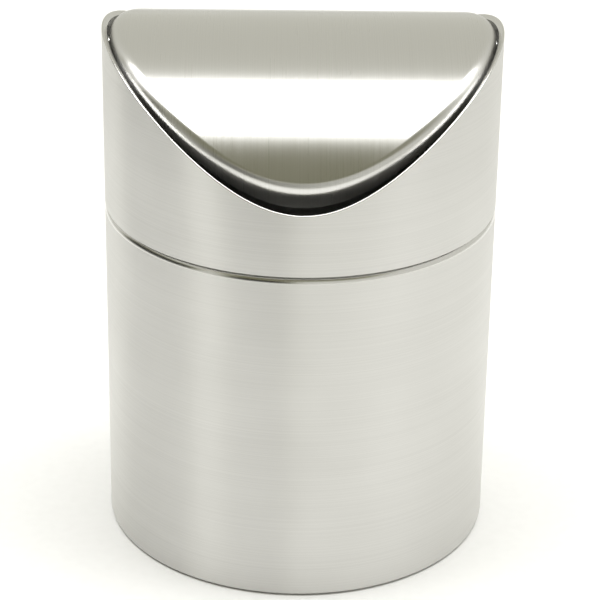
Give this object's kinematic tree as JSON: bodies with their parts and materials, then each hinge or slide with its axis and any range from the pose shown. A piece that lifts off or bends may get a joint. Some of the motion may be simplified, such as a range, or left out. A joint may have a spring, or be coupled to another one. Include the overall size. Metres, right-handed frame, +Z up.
{
  "type": "wastebasket",
  "caption": "Small round desk wastebasket: a straight can, a lift-off hood with scooped front and back, and an arched flap that swings between its two peaks.",
  "frame": {"origin": "centre of the base, on the surface it stands on", "axes": "+Z up along the can's axis, front scoop towards -Y, the flap's swing axis along X"},
  "size_m": [0.12, 0.12, 0.1629],
  "materials": {
    "brushed_shell": "fine brushed, satin",
    "plain_steel": "plain rolled sheet, dull",
    "foot_rubber": "matte",
    "bush_nylon": "natural nylon"
  },
  "bodies": {
    "can": {"body_shell": "brushed_shell", "base_pan": "plain_steel", "foot_ring": "foot_rubber"},
    "hood": {"hood_shell": "brushed_shell", "hood_collar": "plain_steel", "pivot_plate_left": "plain_steel", "pivot_plate_right": "plain_steel", "pivot_stud_left": "plain_steel", "pivot_stud_right": "plain_steel", "clip_left": "plain_steel", "clip_right": "plain_steel"},
    "flap": {"flap_shell": "brushed_shell", "hanger_left": "plain_steel", "hanger_right": "plain_steel", "bush_left": "bush_nylon", "bush_right": "bush_nylon"}
  },
  "joints": [
    {"name": "hood_lift", "type": "slide", "parent": "can", "child": "hood", "axis": [0, 0, 1], "range_m": [0, 0.08]},
    {"name": "flap_swing", "type": "hinge", "parent": "hood", "child": "flap", "pos_m": [0, 0, 0.15585], "axis": [1, 0, 0], "range_deg": [-90, 90]}
  ]
}
